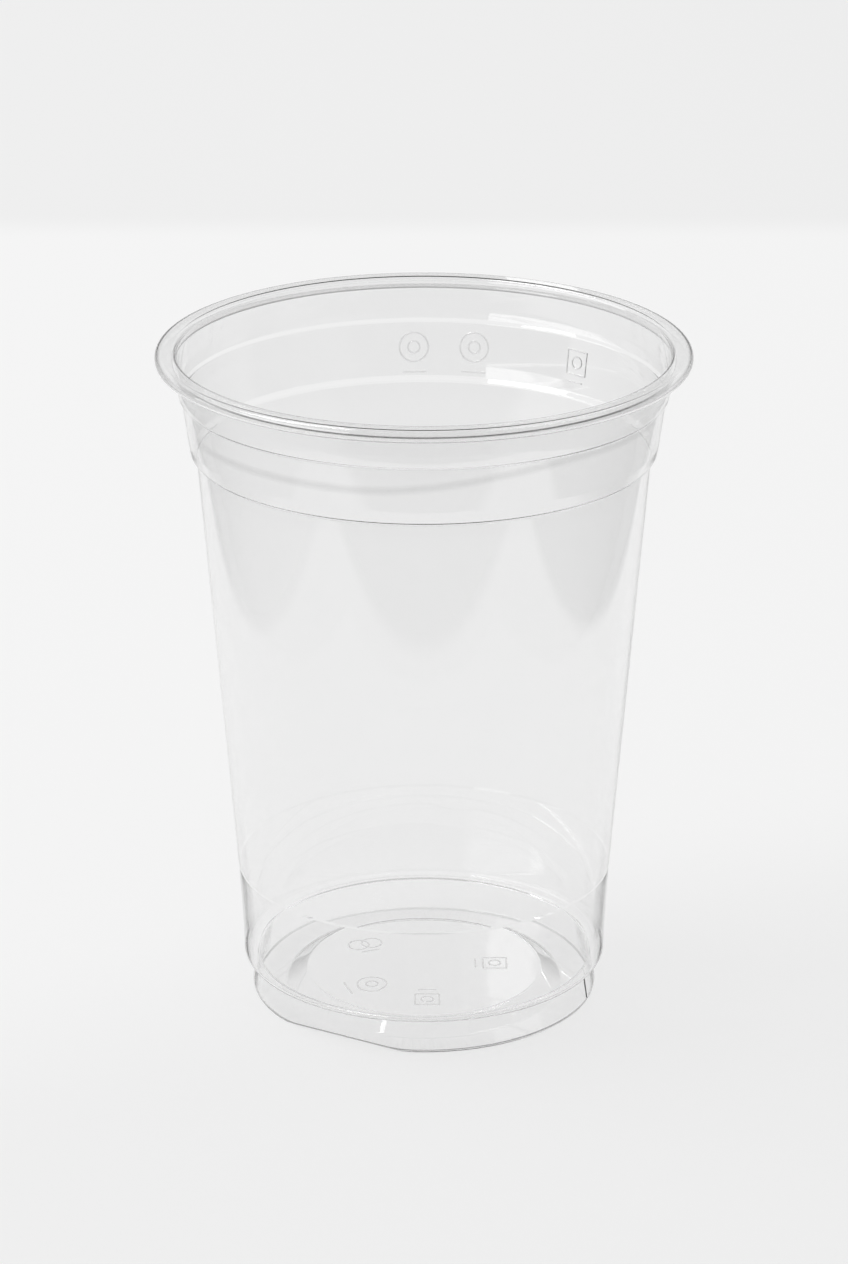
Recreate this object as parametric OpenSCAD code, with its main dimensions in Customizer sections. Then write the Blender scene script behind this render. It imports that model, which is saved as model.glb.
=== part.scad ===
// Clear disposable drinking cup, thermoformed from one sheet of plastic.
// One thin shell turned about Z: curled rim, neck, ledge, lid band, shoulder, tapered wall,
// thickened base band, stacking ledge, foot and raised floor.
// The origin is the centre of the foot ring, on the surface the cup stands on.

/* [Overall] */
// Height from the table to the top of the rim
cup_h = 122.7; // [110:0.1:135]
// Diameter over the curled rim, the size that a lid snaps onto
rim_d = 95; // [92:0.1:98]

/* [Rim] */
// Width of the curl, from the mouth to its outer edge
rim_w = 3.8; // [3.4:0.1:4.6]
// Height of the curl
rim_h = 2.3; // [2:0.1:2.8]
// Thickness of the curled sheet
rim_t = 0.32; // [0.26:0.02:0.4]
// Radius of the bend from the mouth into the top of the rim
mouth_round = 0.85; // [0.6:0.05:1]
// Slit between the rolled end of the curl and the neck
curl_gap = 0.35; // [0.2:0.05:0.6]

/* [Neck and lid band] */
// Distance from the top of the rim down to the ledge below the neck
neck_h = 7.9; // [6.5:0.1:10]
// Radius that the neck loses on its way down to its lip
neck_draft = 0.24; // [0.1:0.02:0.4]
// Height of the lip at the bottom of the neck, which leans in more
neck_lip_h = 1.6; // [1:0.1:2.4]
// Radius that this lip takes in
neck_lip_in = 0.33; // [0.2:0.01:0.5]
// Radius that the ledge below the neck takes in
neck_ledge_in = 0.5; // [0.3:0.05:0.8]
// Height over which this ledge runs in
neck_ledge_h = 0.5; // [0.3:0.05:0.9]
// Height of the upright part of the band that carries the lid
band_h = 7.9; // [6:0.1:10]
// Radius that this part loses on its way down
band_draft = 1.1; // [0.7:0.05:1.4]
// Height of the lip at the bottom of the band, which leans in more
band_lip_h = 2.2; // [1.4:0.1:3]
// Radius that this lip takes in
band_lip_in = 0.38; // [0.25:0.01:0.6]
// Radius that the shoulder below the band takes in
shoulder_in = 1.02; // [0.6:0.02:1.4]
// Height over which the shoulder runs in
shoulder_h = 0.75; // [0.5:0.05:1.2]
// Radius of the soft bends at the top of both lips
lip_round = 8; // [3:0.5:12]
// Radius of the rounds at the ledge and at the shoulder, on the hollow side of each bend
ledge_bend = 0.3; // [0.2:0.05:0.5]
// Thickness of the neck, the band and the wall down to the crease
wall_t = 0.27; // [0.23:0.01:0.36]

/* [Base band] */
// Height of the fine crease in the wall above the base
crease_z = 24.8; // [21:0.1:30]
// Diameter of the wall at the crease
crease_d = 68.2; // [67.2:0.1:70]
// Depth of the crease
crease_in = 0.1; // [0.06:0.01:0.12]
// Height over which the crease goes in
crease_h = 0.5; // [0.3:0.05:0.8]
// Diameter of the upright part of the base band, above the ledge
base_d = 66.4; // [66:0.1:66.8]
// Height at which the base band starts to open out
bend_z = 11; // [10:0.5:15]
// Radius of the bend there
bend_round = 60; // [20:5:90]
// Thickness of the base band, the ledge and the foot wall
base_t = 0.44; // [0.36:0.02:0.56]

/* [Foot] */
// Height of the stacking ledge above the table
ledge_z = 6.6; // [5.4:0.1:8]
// Radius of the round under the base band
ledge_round = 1.2; // [0.9:0.05:1.3]
// Diameter of the foot at the table
foot_d = 63.6; // [62:0.1:63.9]
// Angle by which the foot wall widens on its way down from the ledge, in degrees
foot_flare = 8.5; // [4:0.5:10]
// Radius of the round at the bottom of the foot
foot_round = 0.85; // [0.6:0.05:1]
// Radius of the round where the ledge turns down into the foot, inside
ledge_lip_round = 0.4; // [0.2:0.05:0.6]
// Inner diameter of the ring that the cup stands on
stand_d = 51; // [48:0.5:54]
// Diameter of the raised disc of the floor
disc_d = 43.2; // [38:0.2:45]
// Height of the raised disc, underneath
disc_rise = 2.3; // [1.6:0.1:3.2]
// Radius of the bends between the standing ring and the disc, on the hollow side of each
disc_round = 1; // [0.5:0.1:2]
// Thickness of the floor
floor_t = 0.4; // [0.32:0.02:0.5]

/* [Flat on the foot] */
// Direction of the middle of the flat, from the front towards the right, in degrees
flat_azimuth = -30; // [-60:1:0]
// Depth of the flat at the table
flat_depth = 2.5; // [1.5:0.05:2.8]
// Height of plain foot wall left between the flat and the ledge
flat_gap = 0.6; // [0.4:0.1:1.6]

/* [Notch in the foot] */
// Direction of the fine upright notch, from the front towards the right, in degrees
notch_azimuth = 71; // [50:1:85]
// Depth of the notch
notch_in = 0.15; // [0.1:0.01:0.25]
// Width of the notch
notch_w = 0.5; // [0.3:0.05:0.8]

/* [Hidden] */
$fn = 180;
// Largest share of a side that the rounds at its two ends may take up together
side_share = 0.98;
// A round that would take up less of its sides than this stays a plain corner
least_reach = 0.02;
// Angle between the points of a round, in degrees
arc_step = 15;
// Side of the block that cuts the flat
cut_block = 40;

// Radii and heights that follow from the sizes above, outer face unless named otherwise
rim_r = rim_d / 2;
mouth_r = rim_r - rim_w;
roll_r = rim_h / 2;
rim_bottom_z = cup_h - rim_h;
neck_top_r = mouth_r + rim_t;
neck_lip_r = neck_top_r - neck_draft;
neck_r = neck_lip_r - neck_lip_in;
neck_z = cup_h - neck_h;
neck_lip_z = neck_z + neck_lip_h;
band_top_r = neck_r - neck_ledge_in;
band_top_z = neck_z - neck_ledge_h;
band_lip_r = band_top_r - band_draft;
band_lip_z = band_top_z - band_h;
band_r = band_lip_r - band_lip_in;
band_z = band_lip_z - band_lip_h;
wall_top_r = band_r - shoulder_in;
wall_top_z = band_z - shoulder_h;
crease_r = crease_d / 2;
base_r = base_d / 2;
foot_r = foot_d / 2;
stand_r = stand_d / 2;
disc_r = disc_d / 2;
disc_top_z = disc_rise + floor_t;
ledge_top_z = ledge_z + base_t;
// Both faces of a bend turn about one centre, so the sheet keeps its thickness through it.
// The inner corners of the ledge and of the shoulder lie this much higher than the outer ones.
neck_rise = wall_t * tan(atan2(neck_ledge_in, neck_ledge_h) / 2);
shoulder_rise = wall_t * tan(atan2(shoulder_in, shoulder_h) / 2);

// Outer radius of the foot wall at height z
function foot_at(z) = foot_r - z * tan(foot_flare);

function unit(v) = v / norm(v);

// Corners are written as [radius, height, round]
function point(corners, i) = [corners[i].x, corners[i].y];

// Length that the round of corner i would take up on each of its two sides
function reach(corners, i) =
    i <= 0 || i >= len(corners) - 1 || corners[i].z == 0 ? 0 :
    let (u = unit(point(corners, i - 1) - point(corners, i)),
         w = unit(point(corners, i + 1) - point(corners, i)))
    corners[i].z / tan(acos(u * w) / 2);

// Share of its reach that a round keeps on the side from corner i to the next one
function room(corners, i) =
    let (wanted = reach(corners, i) + reach(corners, i + 1),
         side = norm(point(corners, i + 1) - point(corners, i)))
    wanted <= side_share * side ? 1 : side_share * side / wanted;

// Points of the arc that rounds corner i
function rounded(corners, i) =
    let (b = point(corners, i),
         u = unit(point(corners, i - 1) - b),
         w = unit(point(corners, i + 1) - b),
         length = reach(corners, i) * min(room(corners, i - 1), room(corners, i)),
         centre = b + unit(u + w) * (length / cos(acos(u * w) / 2)),
         p = b + u * length - centre,
         q = b + w * length - centre,
         turn = atan2(p.x * q.y - p.y * q.x, p * q),
         n = max(2, ceil(abs(turn) / arc_step)))
    [for (i = [0:n])
        let (t = turn * i / n)
        centre + [p.x * cos(t) - p.y * sin(t), p.x * sin(t) + p.y * cos(t)]];

// An outline with its corners rounded
function outline(corners) =
    [for (i = [0:len(corners) - 1])
        each reach(corners, i) < least_reach ? [point(corners, i)] : rounded(corners, i)];

// Outer face, from the middle of the floor out and up to the neck under the curl
outer_face = [
    [0, disc_rise, 0],
    [disc_r, disc_rise, disc_round],
    [stand_r, 0, disc_round + floor_t],
    [foot_r, 0, foot_round],
    [foot_at(ledge_z), ledge_z, 0],
    [base_r, ledge_z, ledge_round],
    [base_r, bend_z, bend_round],
    [crease_r - crease_in, crease_z - crease_h / 2, 0],
    [crease_r, crease_z + crease_h / 2, 0],
    [wall_top_r, wall_top_z, ledge_bend],
    [band_r, band_z, ledge_bend + wall_t],
    [band_lip_r, band_lip_z, lip_round],
    [band_top_r, band_top_z, ledge_bend],
    [neck_r, neck_z, ledge_bend + wall_t],
    [neck_lip_r, neck_lip_z, lip_round],
    [neck_top_r, rim_bottom_z, 0]];

// The curl: its hollow side from the neck round to the rolled end, then its outer side back
curl_face = [
    [neck_top_r, cup_h - rim_t, mouth_round - rim_t],
    [rim_r - rim_t, cup_h - rim_t, roll_r - rim_t],
    [rim_r - rim_t, rim_bottom_z + rim_t, roll_r - rim_t],
    [neck_top_r + curl_gap, rim_bottom_z + rim_t, 0],
    [neck_top_r + curl_gap, rim_bottom_z, 0],
    [rim_r, rim_bottom_z, roll_r],
    [rim_r, cup_h, roll_r],
    [mouth_r, cup_h, mouth_round]];

// Inner face, from the mouth down to the middle of the floor
inner_face = [
    [mouth_r, rim_bottom_z, lip_round],
    [neck_lip_r - wall_t, neck_lip_z, lip_round],
    [neck_r - wall_t, neck_z + neck_rise, ledge_bend],
    [band_top_r - wall_t, band_top_z + neck_rise, ledge_bend + wall_t],
    [band_lip_r - wall_t, band_lip_z, lip_round],
    [band_r - wall_t, band_z + shoulder_rise, ledge_bend],
    [wall_top_r - wall_t, wall_top_z + shoulder_rise, ledge_bend + wall_t],
    [crease_r - wall_t, crease_z, 0],
    [base_r - base_t, bend_z, bend_round],
    [base_r - base_t, ledge_top_z, ledge_round - base_t],
    [foot_at(ledge_top_z) - base_t, ledge_top_z, ledge_lip_round],
    [foot_at(floor_t) - base_t, floor_t, foot_round - floor_t],
    [stand_r, floor_t, disc_round],
    [disc_r, disc_top_z, disc_round + floor_t],
    [0, disc_top_z, 0]];

// The flat leans out on its way up and runs out into the foot wall at flat_top_z
flat_top_z = ledge_z - flat_gap;
flat_top_r = foot_at(flat_top_z);
flat_lean = atan((flat_depth + flat_top_r - foot_r) / flat_top_z);

// Turns a child that faces the front, which is -Y, to an azimuth
module facing(azimuth) {
    rotate([0, 0, azimuth]) children();
}

// What lies beyond the flat, moved in by a depth
module beyond_flat(depth) {
    facing(flat_azimuth)
        translate([0, depth - flat_top_r, flat_top_z])
            rotate([flat_lean, 0, 0])
                translate([-cut_block / 2, -cut_block, base_t - cut_block])
                    cube(cut_block);
}

module shell() {
    rotate_extrude()
        polygon(outline(concat(outer_face, curl_face, inner_face)));
}

// The room inside the foot, out to the middle of its wall and of the floor
module foot_room() {
    rotate_extrude()
        polygon(outline([
            [stand_r, floor_t / 2, 0],
            [foot_at(floor_t / 2) - base_t / 2, floor_t / 2, foot_round - floor_t / 2],
            [foot_at(ledge_z) - base_t / 2, ledge_z, 0],
            [stand_r, ledge_z, 0]]));
}

// The wall of the flat, as thick as the base band, before its outer face is cut
module flat_wall() {
    intersection() {
        foot_room();
        beyond_flat(base_t);
    }
}

// The fine upright notch leans with the foot wall, from its bottom round to the ledge
module notch() {
    facing(notch_azimuth)
        translate([0, -foot_r, 0])
            rotate([-foot_flare, 0, 0])
                translate([-notch_w / 2, -notch_w, foot_round])
                    cube([notch_w, notch_w + notch_in, ledge_z - foot_round - notch_w]);
}

module cup() {
    color([0.9, 0.93, 0.94, 0.35])
        difference() {
            union() {
                shell();
                flat_wall();
            }
            beyond_flat(0);
            notch();
        }
}

cup();
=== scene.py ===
"""Clear cold-drink cup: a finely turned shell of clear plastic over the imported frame.

The cup stands on a plain pale floor, seen by the camera of the product picture.
Sizes are in millimetres until a vertex is made, and metres from there on.
"""

import logging
import math
from collections.abc import Iterable
from dataclasses import dataclass, field
from enum import Enum

import bmesh
import bpy
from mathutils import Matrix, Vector


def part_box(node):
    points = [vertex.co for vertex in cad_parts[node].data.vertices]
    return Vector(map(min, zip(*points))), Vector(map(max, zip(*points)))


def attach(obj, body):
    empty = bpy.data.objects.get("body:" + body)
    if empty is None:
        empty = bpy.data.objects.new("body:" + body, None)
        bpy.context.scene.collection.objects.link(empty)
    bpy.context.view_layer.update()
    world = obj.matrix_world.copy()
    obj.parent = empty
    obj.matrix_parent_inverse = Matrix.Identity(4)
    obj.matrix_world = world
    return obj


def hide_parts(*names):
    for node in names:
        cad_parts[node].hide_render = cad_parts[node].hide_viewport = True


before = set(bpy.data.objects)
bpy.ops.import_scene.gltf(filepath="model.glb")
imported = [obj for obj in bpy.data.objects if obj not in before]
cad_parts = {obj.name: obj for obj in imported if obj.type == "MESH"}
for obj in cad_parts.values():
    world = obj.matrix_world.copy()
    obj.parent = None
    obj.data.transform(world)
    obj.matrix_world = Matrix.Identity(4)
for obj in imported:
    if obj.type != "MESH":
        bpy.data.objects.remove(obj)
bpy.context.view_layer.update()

MM = 0.001
FULL_TURN = 2.0 * math.pi
# points of the mesh that are closer than this, in metres, are one
SAME_PLACE = 1e-6
# limits between whole numbers of bounces
ANY_BOUNCE = 0.5
THIRD_BOUNCE = 2.5
# a bevel's profile that is a true round
ROUND_PROFILE = 0.5
# a Layer Weight that rises evenly with the slant
EVEN_BLEND = 0.5
# distance between two nodes in the editor
NODE_STEP = 180.0
CUP_NODE = "cup"
ROOT_BODY = "root"

Socket = bpy.types.NodeSocket
BMesh = bmesh.types.BMesh

log = logging.getLogger("cup")


# node helpers


class NodeSheet:
    """A short way to lay nodes in one tree, left to right."""

    def __init__(self, tree: bpy.types.NodeTree) -> None:
        """Takes a tree and empties it.

        Args:
            tree: The tree of a material, a world or a node group.
        """
        self.tree = tree
        self.column = 0
        tree.nodes.clear()

    def add(self, kind: str, name: str = "", **settings: object) -> bpy.types.Node:
        """Adds a node.

        Args:
            kind: Blender's type name of the node.
            name: A label for people who open the tree.
            settings: Properties to set on it, such as operation.

        Returns:
            The new node.
        """
        node = self.tree.nodes.new(kind)
        node.label = name
        for key, value in settings.items():
            setattr(node, key, value)
        node.location = (NODE_STEP * self.column, 0.0)
        self.column += 1
        return node

    def wire(self, source: Socket, target: Socket) -> None:
        """Links an output to an input."""
        self.tree.links.new(source, target)

    def feed(self, socket: Socket, value: object) -> None:
        """Gives an input a link or a plain value.

        Args:
            socket: The input.
            value: An output socket, a number or a tuple.
        """
        if isinstance(value, Socket):
            self.wire(value, socket)
        else:
            socket.default_value = value

    def math(self, operation: str, *values: object) -> Socket:
        """Adds a Math node.

        Args:
            operation: The operation's name.
            values: Output sockets or numbers for its inputs.

        Returns:
            Its output.
        """
        node = self.add("ShaderNodeMath", operation=operation)
        for socket, value in zip(node.inputs, values):
            self.feed(socket, value)
        return node.outputs[0]

    def times(self, first: object, *others: object) -> Socket:
        """Multiplies values.

        Args:
            first: An output socket or a number.
            others: What it is multiplied by, one after the other.

        Returns:
            The product.
        """
        product = first
        for other in others:
            product = self.math("MULTIPLY", product, other)
        return product

    def ramp(self, value: object, low: float, high: float, start: float = 0.0,
             end: float = 1.0) -> Socket:
        """Adds a Map Range node with a smooth step.

        Args:
            value: The output socket to map.
            low: Where the ramp starts.
            high: Where the ramp ends.
            start: The result at low and before.
            end: The result at high and after.

        Returns:
            The mapped value.
        """
        node = self.add("ShaderNodeMapRange", interpolation_type="SMOOTHSTEP")
        for name, given in (("Value", value), ("From Min", low), ("From Max", high),
                            ("To Min", start), ("To Max", end)):
            self.feed(node.inputs[name], given)
        return node.outputs["Result"]

    def blend(self, factor: object, one: object, two: object) -> Socket:
        """Mixes two colours.

        Args:
            factor: 0 for the first colour and 1 for the second.
            one: The first colour, an output socket or a tuple.
            two: The second colour.

        Returns:
            The mixed colour.
        """
        node = self.add("ShaderNodeMix", data_type="RGBA")
        self.feed(node.inputs[0], factor)
        self.feed(node.inputs[6], one)
        self.feed(node.inputs[7], two)
        return node.outputs[2]

    def length(self, one: object, two: object) -> Socket:
        """Length of a flat vector from its two parts."""
        squares = self.math("ADD", self.times(one, one), self.times(two, two))
        return self.math("SQRT", squares)

    def place(self) -> tuple[Socket, Socket, Socket]:
        """Reads a point's place on the object.

        Returns:
            How far it lies to the right, to the back and up, in metres.
        """
        split = self.add("ShaderNodeSeparateXYZ")
        self.wire(self.add("ShaderNodeTexCoord").outputs["Object"], split.inputs[0])
        return split.outputs[0], split.outputs[1], split.outputs[2]

    def mix(self, factor: object, one: bpy.types.Node, two: bpy.types.Node,
            name: str = "") -> bpy.types.Node:
        """Mixes two shaders.

        Args:
            factor: 0 for the first shader and 1 for the second.
            one: The first shader.
            two: The second shader.
            name: A label for people who open the tree.

        Returns:
            The mixed shader.
        """
        node = self.add("ShaderNodeMixShader", name=name)
        self.feed(node.inputs[0], factor)
        self.wire(one.outputs[0], node.inputs[1])
        self.wire(two.outputs[0], node.inputs[2])
        return node

    def mirrored(self) -> Socket:
        """Tells mirrored rays from all others.

        Returns:
            1 for a ray that was mirrored once or twice and never scattered.
        """
        path = self.add("ShaderNodeLightPath")
        once = self.math("GREATER_THAN", path.outputs["Glossy Depth"], ANY_BOUNCE)
        few = self.math("LESS_THAN", path.outputs["Glossy Depth"], THIRD_BOUNCE)
        unscattered = self.math("LESS_THAN", path.outputs["Diffuse Depth"], ANY_BOUNCE)
        return self.times(once, few, unscattered)

    def slant(self, low: float, high: float) -> Socket:
        """Tells faces that are seen at a low angle.

        Args:
            low: Slant, from 0 to 1, at which the result starts to rise.
            high: Slant from which it is 1.

        Returns:
            0 for a face seen square on, and 1 for a slanting one.
        """
        weight = self.add("ShaderNodeLayerWeight")
        weight.inputs["Blend"].default_value = EVEN_BLEND
        return self.ramp(weight.outputs["Facing"], low, high)

    def surface(self, shader: bpy.types.Node, kind: str = "ShaderNodeOutputMaterial") -> None:
        """Wires a shader to the tree's output."""
        self.wire(shader.outputs[0], self.add(kind).inputs["Surface"])


def grey(level: float) -> tuple[float, float, float, float]:
    """A neutral colour of the given linear level."""
    return (level, level, level, 1.0)


def new_material(name: str) -> tuple[bpy.types.Material, NodeSheet]:
    """Starts a material.

    Args:
        name: Its name.

    Returns:
        The material and its empty sheet of nodes.
    """
    mat = bpy.data.materials.new(name)
    mat.use_nodes = True
    return mat, NodeSheet(mat.node_tree)


# objects


def put_in_scene(name: str, data: bpy.types.ID) -> bpy.types.Object:
    """Makes an object of a mesh, a lamp or a camera.

    Args:
        name: Its name.
        data: What it shows.

    Returns:
        The object, which the scene holds now.
    """
    thing = bpy.data.objects.new(name, data)
    bpy.context.scene.collection.objects.link(thing)
    return thing


def mesh_object(name: str, bm: BMesh) -> bpy.types.Object:
    """Makes an object of a finished bmesh.

    Args:
        name: Its name.
        bm: Its mesh, which is freed.

    Returns:
        The object, at the origin.
    """
    mesh = bpy.data.meshes.new(name)
    bm.to_mesh(mesh)
    bm.free()
    return put_in_scene(name, mesh)


def stand(thing: bpy.types.Object, place: Iterable[float], aim: Iterable[float],
          axis: str) -> None:
    """Puts a lamp or a card in its place and points it at something.

    Args:
        thing: The lamp or card.
        place: Where it goes, in metres.
        aim: What it points at.
        axis: The axis of its own that points there.
    """
    thing.location = place
    towards = Vector(aim) - Vector(place)
    thing.rotation_euler = towards.to_track_quat(axis, "Y").to_euler()


# the cup's section


@dataclass(frozen=True)
class Corner:
    """One corner of the sheet's section.

    Attributes:
        radius: Distance from the cup's axis.
        height: Height above the table.
        bend: Radius of the round on the corner.
    """

    radius: float
    height: float
    bend: float = 0.0

    def point(self) -> Vector:
        """The corner in the plane of the section."""
        return Vector((self.radius, self.height))


@dataclass(frozen=True)
class CupSizes:
    """The cup's sizes in millimetres, as the solid has them. Angles are in degrees.

    Attributes:
        height: Table to the top of the rim.
        rim_d: Diameter over the curl.
        rim_w: Width of the curl, from its outside to the mouth.
        rim_h: Height of the curl.
        rim_t: Thickness of the sheet in the curl.
        mouth_bend: Radius of the round from the top of the curl into the mouth.
        curl_gap: Slit between the rolled end and the neck.
        end_round: Radius of the rounds on the rolled end, in thicknesses of the curl.
        neck_h: Top of the rim to the bottom of the neck.
        neck_draft: How far the neck leans in on its way down.
        neck_lip_h: Height of the part of the neck that leans in more.
        neck_lip_in: How far that part leans in.
        neck_ledge_in: Width of the small ledge under the neck.
        neck_ledge_h: Height of that ledge.
        band_h: Height of the band that carries a lid.
        band_draft: How far the band leans in on its way down.
        band_lip_h: Height of the part of the band that leans in more.
        band_lip_in: How far that part leans in.
        shoulder_in: Width of the shoulder under the band.
        shoulder_h: Height of the shoulder.
        lip_bend: Radius of the soft bends in the neck and the band.
        ledge_lip: Radius of the bends at the small ledges.
        wall_t: Thickness of the wall.
        crease_z: Height of the fine crease above the base band.
        crease_d: Diameter at the crease.
        crease_in: Depth of the crease.
        crease_h: Height of the crease.
        base_d: Diameter at the bottom of the base band.
        bend_z: Height at which the base band becomes upright.
        base_bend: Radius of the bend there.
        base_t: Thickness of the base band.
        ledge_z: Height of the stacking ledge over the foot.
        ledge_bend: Radius of the round on the ledge.
        ledge_lip_bend: Radius of the bend from the ledge into the foot.
        foot_d: Diameter of the foot at the table.
        foot_flare: Angle by which the foot wall widens on its way down.
        foot_bend: Radius of the round at the bottom of the foot.
        stand_d: Inner diameter of the ring that the cup stands on.
        disc_d: Diameter of the raised disc of the floor.
        disc_rise: Height of the disc's underside above the table.
        disc_bend: Radius of the bends at the disc and the ring.
        floor_t: Thickness of the floor.
        edge_bend: Radius of the finest rounds.
        flat_azimuth: Direction of the flat on the foot, from the front towards the right.
        flat_depth: How deep the flat cuts into the foot at the table.
        flat_gap: Distance below the ledge at which the flat runs out.
        notch_azimuth: Direction of the fine notch on the foot.
        notch_in: Depth of the notch.
        notch_w: Width of the notch.
    """

    height: float
    rim_d: float
    rim_w: float = 3.8
    rim_h: float = 2.3
    rim_t: float = 0.32
    mouth_bend: float = 0.85
    curl_gap: float = 0.35
    end_round: float = 0.45
    neck_h: float = 7.9
    neck_draft: float = 0.24
    neck_lip_h: float = 1.6
    neck_lip_in: float = 0.33
    neck_ledge_in: float = 0.5
    neck_ledge_h: float = 0.5
    band_h: float = 7.9
    band_draft: float = 1.1
    band_lip_h: float = 2.2
    band_lip_in: float = 0.38
    shoulder_in: float = 1.02
    shoulder_h: float = 0.75
    lip_bend: float = 8.0
    ledge_lip: float = 0.3
    wall_t: float = 0.27
    crease_z: float = 24.8
    crease_d: float = 68.2
    crease_in: float = 0.1
    crease_h: float = 0.5
    base_d: float = 66.4
    bend_z: float = 11.0
    base_bend: float = 60.0
    base_t: float = 0.44
    ledge_z: float = 6.6
    ledge_bend: float = 1.2
    ledge_lip_bend: float = 0.4
    foot_d: float = 63.6
    foot_flare: float = 8.5
    foot_bend: float = 0.85
    stand_d: float = 51.0
    disc_d: float = 43.2
    disc_rise: float = 2.3
    disc_bend: float = 1.0
    floor_t: float = 0.4
    edge_bend: float = 0.08
    flat_azimuth: float = -30.0
    flat_depth: float = 2.5
    flat_gap: float = 0.6
    notch_azimuth: float = 71.0
    notch_in: float = 0.15
    notch_w: float = 0.5

    @property
    def mouth_r(self) -> float:
        """Inner radius of the mouth."""
        return self.rim_d / 2 - self.rim_w

    @property
    def neck_top_r(self) -> float:
        """Outer radius of the neck under the curl."""
        return self.mouth_r + self.rim_t

    @property
    def end_r(self) -> float:
        """Radius of the rolled end of the curl."""
        return self.neck_top_r + self.curl_gap

    @property
    def end_z(self) -> float:
        """Height of the middle of that end."""
        return self.height - self.rim_h + self.rim_t / 2

    @property
    def foot_r(self) -> float:
        """Outer radius of the foot at the table."""
        return self.foot_d / 2

    def foot_at(self, z: float) -> float:
        """Outer radius of the foot wall at height z."""
        return self.foot_r - z * math.tan(math.radians(self.foot_flare))

    @property
    def flat_top_z(self) -> float:
        """Height at which the flat runs out."""
        return self.ledge_z - self.flat_gap

    @property
    def flat_top_r(self) -> float:
        """Radius of the foot where the flat runs out."""
        return self.foot_at(self.flat_top_z)

    @property
    def flat_slope(self) -> float:
        """Distance that the flat leans out for each millimetre up."""
        return (self.flat_depth + self.flat_top_r - self.foot_r) / self.flat_top_z

    @property
    def neck_r(self) -> float:
        """Outer radius at the bottom of the neck."""
        return self.neck_top_r - self.neck_draft - self.neck_lip_in

    @property
    def neck_z(self) -> float:
        """Height of the bottom of the neck."""
        return self.height - self.neck_h

    @property
    def band_top_r(self) -> float:
        """Outer radius of the band under the neck's ledge."""
        return self.neck_r - self.neck_ledge_in

    @property
    def band_lip_r(self) -> float:
        """Outer radius where the band starts to lean in more."""
        return self.band_top_r - self.band_draft

    @property
    def band_lip_z(self) -> float:
        """Height at which it does."""
        return self.neck_z - self.neck_ledge_h - self.band_h

    @property
    def band_r(self) -> float:
        """Outer radius at the bottom of the band."""
        return self.band_lip_r - self.band_lip_in

    @property
    def band_z(self) -> float:
        """Height of the bottom of the band."""
        return self.band_lip_z - self.band_lip_h

    def rise(self, inward: float, height: float) -> float:
        """How much higher the inner corners of a small ledge lie than the outer ones."""
        return self.wall_t * math.tan(math.atan2(inward, height) / 2)

    def outer_side(self) -> list[Corner]:
        """Lists the outside of the section.

        Returns:
            Its corners from the middle of the underside out and up to the neck.
        """
        base_r, crease_r = self.base_d / 2, self.crease_d / 2
        low_crease_z, fine = self.crease_z - self.crease_h / 2, self.edge_bend * 2
        return [
            Corner(0.0, self.disc_rise),
            Corner(self.disc_d / 2, self.disc_rise, self.disc_bend),
            Corner(self.stand_d / 2, 0.0, self.disc_bend + self.floor_t),
            Corner(self.foot_r, 0.0, self.foot_bend),
            Corner(self.foot_at(self.ledge_z), self.ledge_z, self.edge_bend),
            Corner(base_r, self.ledge_z, self.ledge_bend),
            Corner(base_r, self.bend_z, self.base_bend),
            Corner(crease_r - self.crease_in, low_crease_z, fine),
            Corner(crease_r, low_crease_z + self.crease_h, fine),
            Corner(self.band_r - self.shoulder_in, self.band_z - self.shoulder_h, self.ledge_lip),
            Corner(self.band_r, self.band_z, self.ledge_lip + self.wall_t),
            Corner(self.band_lip_r, self.band_lip_z, self.lip_bend),
            Corner(self.band_top_r, self.neck_z - self.neck_ledge_h, self.ledge_lip),
            Corner(self.neck_r, self.neck_z, self.ledge_lip + self.wall_t),
            Corner(self.neck_r + self.neck_lip_in, self.neck_z + self.neck_lip_h, self.lip_bend),
            Corner(self.neck_top_r, self.height - self.rim_h, self.edge_bend),
        ]

    def curl(self) -> list[Corner]:
        """Lists the curl.

        Returns:
            Its corners up the hollow, round the rolled end and over the top.
        """
        rim_r, top, low = self.rim_d / 2, self.height, self.height - self.rim_h
        roll, end_r, end_bend = self.rim_h / 2, self.end_r, self.rim_t * self.end_round
        return [
            Corner(self.neck_top_r, top - self.rim_t, self.mouth_bend - self.rim_t),
            Corner(rim_r - self.rim_t, top - self.rim_t, roll - self.rim_t),
            Corner(rim_r - self.rim_t, low + self.rim_t, roll - self.rim_t),
            Corner(end_r, low + self.rim_t, end_bend),
            Corner(end_r, low, end_bend),
            Corner(rim_r, low, roll),
            Corner(rim_r, top, roll),
            Corner(self.mouth_r, top, self.mouth_bend),
        ]

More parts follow.
